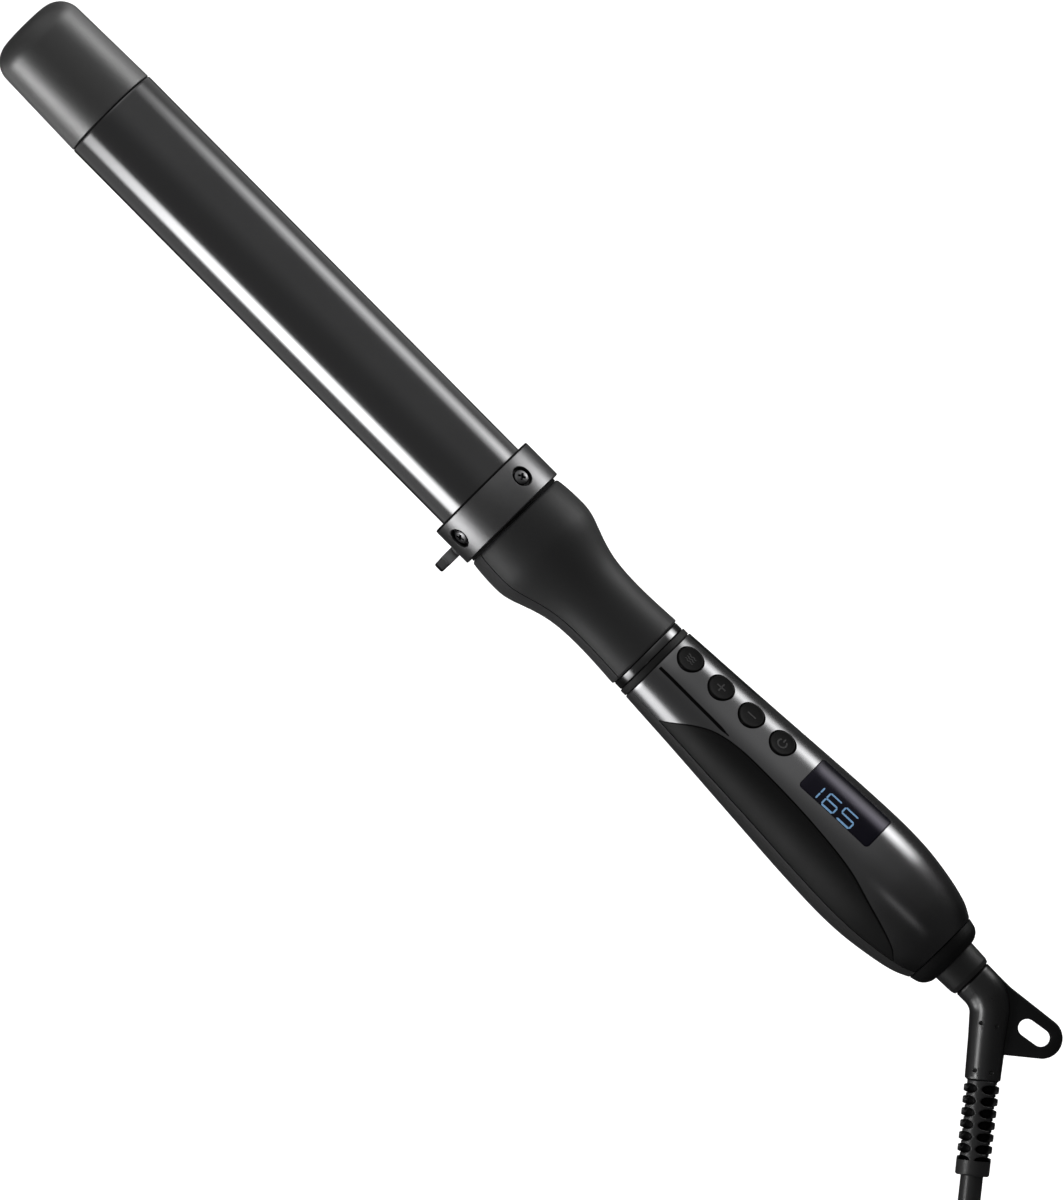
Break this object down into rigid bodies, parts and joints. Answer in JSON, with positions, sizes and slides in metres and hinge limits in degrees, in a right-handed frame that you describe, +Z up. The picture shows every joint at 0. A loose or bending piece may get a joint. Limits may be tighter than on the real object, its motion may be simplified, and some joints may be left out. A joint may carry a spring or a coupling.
{
  "type": "curling wand",
  "caption": "Curling wand with a round heated barrel, cool tip, waisted handle with push buttons and a display, fold-out rest stand, and swivel cord with a hanging loop.",
  "frame": {"origin": "middle of the flat underside of the rest stand's foot pad, with the stand folded out; the wand's axis is 33.6 mm above it", "axes": "+X along the wand towards the cool tip, +Y to the wand's left side, +Z up through the control panel"},
  "size_m": [0.4673, 0.0739, 0.0548],
  "materials": {
    "barrel_coating": "gloss",
    "tip_plastic": "satin",
    "collar_metal": "satin",
    "soft_touch": "soft touch",
    "handle_gunmetal": "metallic gloss",
    "handle_black": "matte",
    "grip_rubber": "matte",
    "trim_chrome": "polished",
    "black_silicone": "matte",
    "display_glass": "gloss",
    "module_black": "matte",
    "button_black": "matte",
    "cord_black": "satin",
    "ceramic_white": "matte",
    "aluminium": "milled",
    "heat_plastic": "matte",
    "circuit_board": "satin",
    "brass": "polished",
    "wire_brown": "satin",
    "wire_blue": "satin",
    "wire_white": "satin",
    "steel": "plain"
  },
  "bodies": {
    "wand": {"barrel_flange": "heat_plastic", "barrel_tube": "barrel_coating", "brush_contact_pin": "brass", "brush_contact_ring": "brass", "collar_ring": "collar_metal", "collar_screw_left": "steel", "collar_screw_right": "steel", "collar_screw_top": "steel", "control_board": "circuit_board", "display_lens": "display_glass", "display_module": "module_black", "end_cap": "handle_black", "grip_inlay_left": "grip_rubber", "grip_inlay_right": "grip_rubber", "handle_lower_shell": "handle_black", "handle_screw_front_left": "steel", "handle_screw_front_right": "steel", "handle_screw_rear_left": "steel", "handle_screw_rear_right": "steel", "handle_upper_shell": "handle_gunmetal", "heat_spreader_lower": "aluminium", "heat_spreader_upper": "aluminium", "heater_lead_live": "wire_brown", "heater_lead_neutral": "wire_blue", "heater_leaf_spring": "steel", "mains_capacitor": "heat_plastic", "neck_lower_shell": "soft_touch", "neck_seal_ring": "black_silicone", "neck_trim_ring": "trim_chrome", "neck_upper_shell": "soft_touch", "power_board": "circuit_board", "ptc_heater": "ceramic_white", "sensor_lead": "wire_white", "stand_bracket": "collar_metal", "stand_bracket_screw": "steel", "stand_hinge_pin": "steel", "switch_minus": "heat_plastic", "switch_mode": "heat_plastic", "switch_plus": "heat_plastic", "switch_power": "heat_plastic", "swivel_socket": "cord_black", "thermal_fuse": "steel", "thermistor": "ceramic_white", "tip_cap": "tip_plastic", "tip_insulator_plug": "ceramic_white"},
    "stand": {"rest_stand": "collar_metal", "stand_foot_pad": "black_silicone"},
    "cord_swivel": {"cord_elbow": "cord_black", "strain_relief": "cord_black", "power_cord": "cord_black", "cord_core_live": "wire_brown", "cord_core_neutral": "wire_blue", "swivel_spigot": "heat_plastic", "swivel_retaining_clip": "steel", "contact_ring": "brass", "contact_pin": "brass"},
    "mode_key": {"button_mode": "button_black"},
    "plus_key": {"button_plus": "button_black"},
    "minus_key": {"button_minus": "button_black"},
    "power_key": {"button_power": "button_black"}
  },
  "joints": [
    {"name": "stand_fold", "type": "hinge", "parent": "wand", "child": "stand", "pos_m": [0, 0, 0.0106], "axis": [0, 1, 0], "range_deg": [0, 90]},
    {"name": "cord_turn", "type": "hinge", "parent": "wand", "child": "cord_swivel", "pos_m": [-0.19, 0, 0.03515], "axis": [1, 0, 0], "continuous": true},
    {"name": "mode_press", "type": "slide", "parent": "wand", "child": "mode_key", "axis": [-0.0854, 0, -0.9963], "range_m": [0, 0.0008], "stiffness_N_per_m": 900, "springref_m": -0.0006},
    {"name": "plus_press", "type": "slide", "parent": "wand", "child": "plus_key", "axis": [-0.0854, 0, -0.9963], "range_m": [0, 0.0008], "stiffness_N_per_m": 900, "springref_m": -0.0006},
    {"name": "minus_press", "type": "slide", "parent": "wand", "child": "minus_key", "axis": [-0.0854, 0, -0.9963], "range_m": [0, 0.0008], "stiffness_N_per_m": 900, "springref_m": -0.0006},
    {"name": "power_press", "type": "slide", "parent": "wand", "child": "power_key", "axis": [-0.0854, 0, -0.9963], "range_m": [0, 0.0008], "stiffness_N_per_m": 900, "springref_m": -0.0006}
  ]
}
